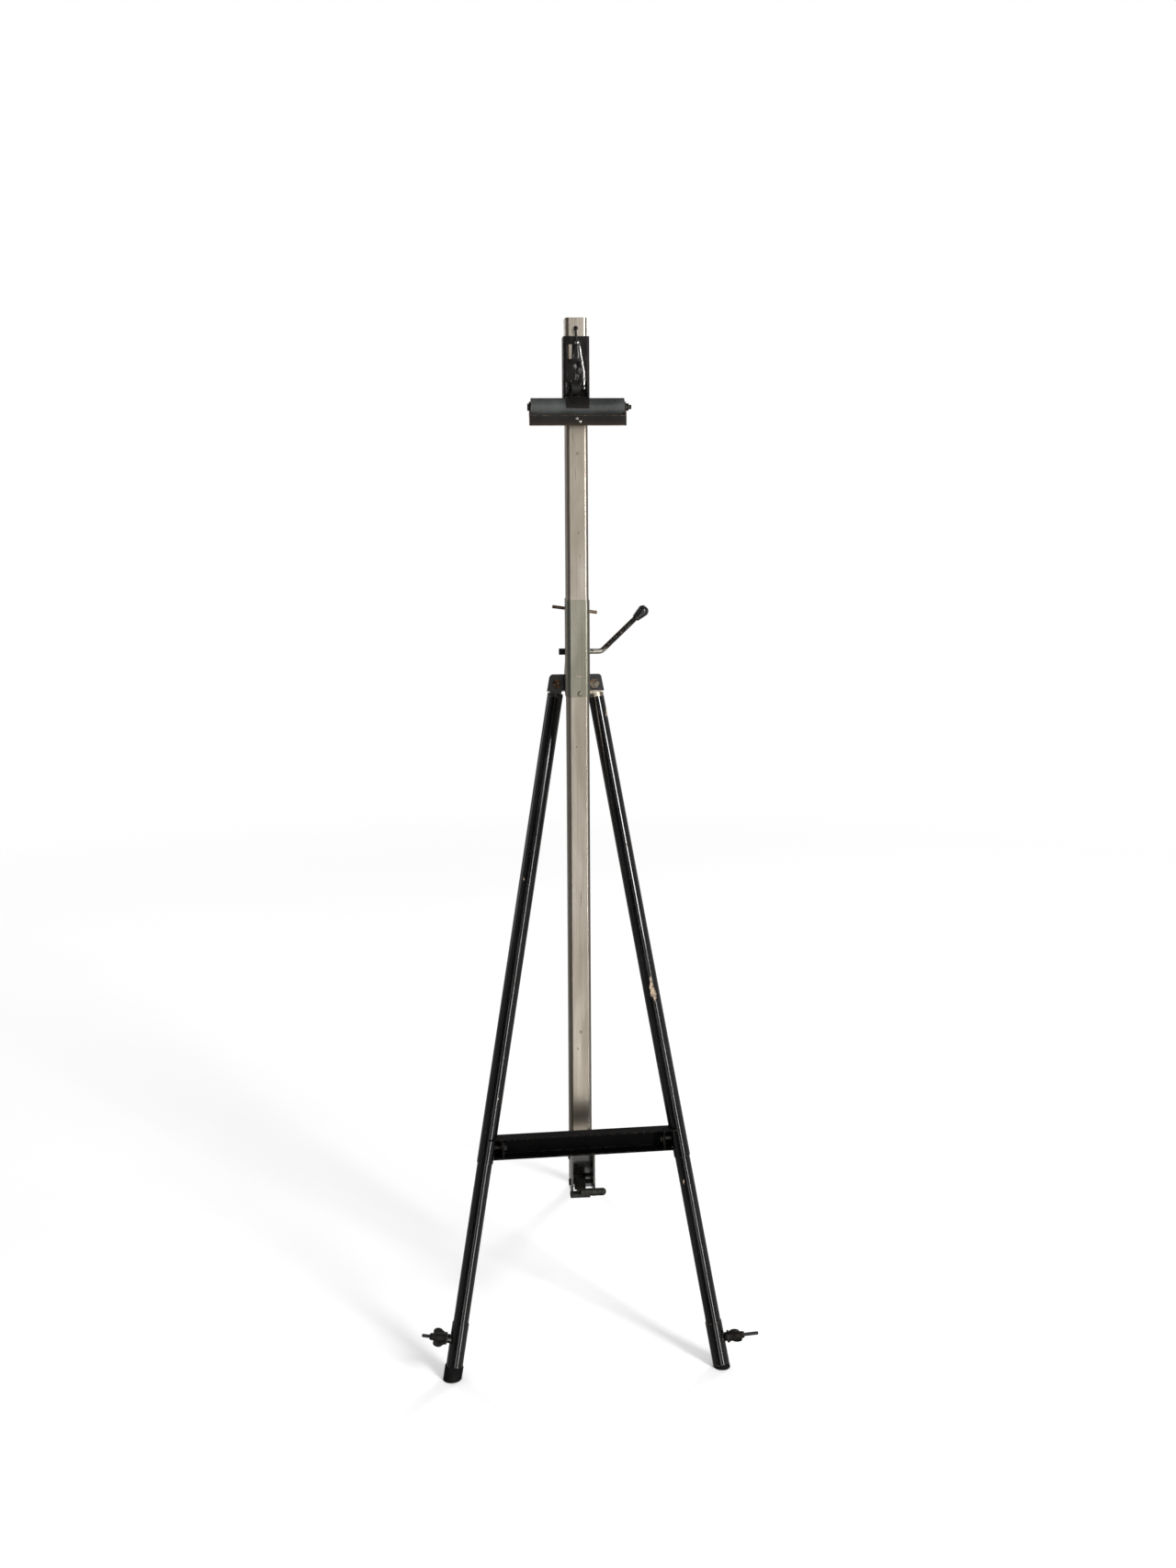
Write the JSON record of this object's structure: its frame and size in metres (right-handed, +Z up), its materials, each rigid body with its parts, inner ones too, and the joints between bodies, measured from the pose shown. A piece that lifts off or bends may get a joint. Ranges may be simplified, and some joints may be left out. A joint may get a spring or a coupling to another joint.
{
  "type": "studio easel",
  "caption": "Metal studio easel: square mast sliding in a lever-clamped head on three round legs, crossbar ledge, and a sliding carriage with a picture-gripping bar.",
  "frame": {"origin": "on the floor, at the middle of the footprint box from front feet to rear foot", "axes": "+Z up along the mast, +X to the right of someone facing the easel, -Y the side the picture hangs on"},
  "size_m": [0.4841, 0.688, 1.526],
  "materials": {
    "worn_nickel": "worn satin nickel plating with streaks and dark edges",
    "satin_nickel": "satin nickel plating, slightly dull",
    "black_enamel": "gloss black stove enamel, chipped in places",
    "bar_enamel": "dark grey-black satin enamel",
    "bare_steel": "worn bare steel",
    "blackened_steel": "oil-blackened steel",
    "phenolic": "polished black moulded resin",
    "brass_shoe": "machined",
    "rubber": "matte",
    "nylon": "moulded"
  },
  "bodies": {
    "frame": {"head_sleeve": "satin_nickel", "head_rivet": "satin_nickel", "head_yoke": "black_enamel", "cross_pin": "bare_steel", "rear_pivot_pin": "bare_steel", "left_leg_bracket": "black_enamel", "right_leg_bracket": "black_enamel", "left_leg_fitting": "bare_steel", "right_leg_fitting": "bare_steel", "left_upper_leg": "black_enamel", "right_upper_leg": "black_enamel", "left_lower_leg": "black_enamel", "right_lower_leg": "black_enamel", "hinge_bolts": "blackened_steel", "hinge_nuts": "bare_steel", "crossbar": "black_enamel", "crossbar_end_plates": "black_enamel", "crossbar_bolts": "blackened_steel", "lower_guide": "black_enamel", "guide_screw": "bare_steel", "pedal_pin": "blackened_steel"},
    "mast": {"mast_tube": "worn_nickel", "mast_cap": "nylon", "mast_foot_plug": "nylon"},
    "carriage": {"carriage_sleeve": "black_enamel", "carriage_glides": "nylon", "bar_strap": "black_enamel", "top_bar": "bar_enamel", "top_bar_plugs": "nylon", "top_bar_axle": "bare_steel"},
    "top_lip": {"top_lip": "bar_enamel", "lip_screws": "bare_steel"},
    "latch": {"latch_cam": "blackened_steel", "latch_wire": "bare_steel", "latch_grip": "phenolic", "latch_tip": "blackened_steel"},
    "clamp_lever": {"clamp_lever_rod": "bare_steel", "clamp_lever_knob": "phenolic", "clamp_lever_nut": "blackened_steel", "clamp_cam": "blackened_steel"},
    "brake_shoe": {"brake_shoe": "brass_shoe"},
    "pedal": {"pedal_cam": "blackened_steel", "pedal_handle": "blackened_steel"},
    "rear_leg": {"rear_leg_block": "bare_steel", "rear_leg_tube": "black_enamel", "rear_foot_tip": "rubber"},
    "left_foot": {"left_foot_sleeve": "black_enamel", "left_foot_tip": "rubber", "left_foot_stud": "blackened_steel"},
    "right_foot": {"right_foot_sleeve": "black_enamel", "right_foot_tip": "rubber", "right_foot_stud": "blackened_steel"},
    "left_wing_nut": {"left_wing_nut": "blackened_steel"},
    "right_wing_nut": {"right_wing_nut": "blackened_steel"}
  },
  "joints": [
    {"name": "mast_slide", "type": "slide", "parent": "frame", "child": "mast", "axis": [0, 0, 1], "range_m": [0, 0.4]},
    {"name": "carriage_slide", "type": "slide", "parent": "mast", "child": "carriage", "axis": [0, 0, 1], "range_m": [-0.24, 0.02]},
    {"name": "top_lip_tilt", "type": "hinge", "parent": "carriage", "child": "top_lip", "pos_m": [0, -0.23398, 1.3915], "axis": [1, 0, 0], "range_deg": [-45, 0]},
    {"name": "latch_turn", "type": "hinge", "parent": "carriage", "child": "latch", "pos_m": [0, -0.23218, 1.42], "axis": [1, 0, 0], "range_deg": [0, 60]},
    {"name": "clamp_lever_turn", "type": "hinge", "parent": "frame", "child": "clamp_lever", "pos_m": [0, -0.16848, 1.023], "axis": [1, 0, 0], "range_deg": [0, 70]},
    {"name": "brake_shoe_slide", "type": "slide", "parent": "frame", "child": "brake_shoe", "axis": [0, 1, 0], "range_m": [0, 0.00079]},
    {"name": "pedal_turn", "type": "hinge", "parent": "frame", "child": "pedal", "pos_m": [0, -0.23178, 0.235], "axis": [1, 0, 0], "range_deg": [0, 60]},
    {"name": "rear_leg_fold", "type": "hinge", "parent": "frame", "child": "rear_leg", "pos_m": [0, -0.15348, 0.975], "axis": [1, 0, 0], "range_deg": [-26, 0]},
    {"name": "left_foot_slide", "type": "slide", "parent": "frame", "child": "left_foot", "axis": [-0.1653, -0.1788, -0.9699], "range_m": [0, 0.025]},
    {"name": "left_wing_nut_turn", "type": "hinge", "parent": "left_foot", "child": "left_wing_nut", "pos_m": [-0.20116, -0.32157, 0.05318], "axis": [-0.9849, -0.0215, 0.1718], "continuous": true},
    {"name": "right_foot_slide", "type": "slide", "parent": "frame", "child": "right_foot", "axis": [0.1653, -0.1788, -0.9699], "range_m": [0, 0.025]},
    {"name": "right_wing_nut_turn", "type": "hinge", "parent": "right_foot", "child": "right_wing_nut", "pos_m": [0.20256, -0.32796, 0.0412], "axis": [0.938, -0.2754, 0.2107], "continuous": true}
  ],
  "couplings": [
    {"joint": "brake_shoe_slide", "follows": "clamp_lever_turn", "m_per_rad": 0.0006466}
  ]
}
